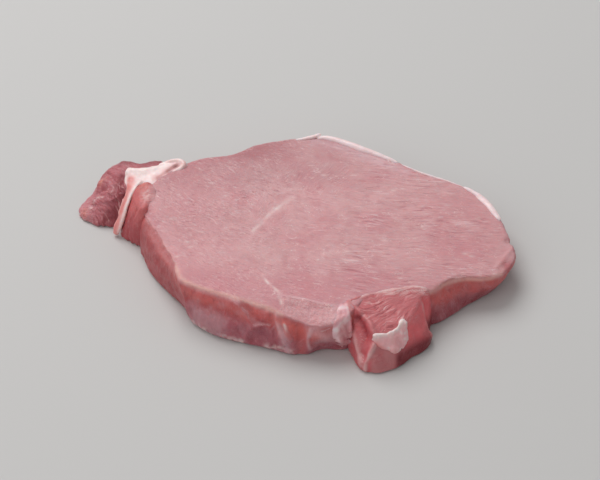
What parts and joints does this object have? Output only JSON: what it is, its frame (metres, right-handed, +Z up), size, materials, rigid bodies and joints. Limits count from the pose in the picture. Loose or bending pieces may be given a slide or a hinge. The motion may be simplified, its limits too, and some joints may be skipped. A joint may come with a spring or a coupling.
{
  "type": "raw pork chop",
  "caption": "Raw boneless pork loin chop lying flat: a pale, fine-grained eye with a folded corner flap, a small tail of darker muscle and a narrow band of fat.",
  "frame": {"origin": "under the middle of the chop's bounding box, on the plane that it lies on", "axes": "+X along the chop's length from the small tail to the thin right end, +Y from the front corner flap to the back edge, +Z up through the thickness"},
  "size_m": [0.143, 0.0974, 0.0162],
  "materials": {
    "raw_meat": "moist satin, pale pink with fine pale marbling"
  },
  "bodies": {
    "root": {"pork_chop": "raw_meat"}
  },
  "joints": []
}
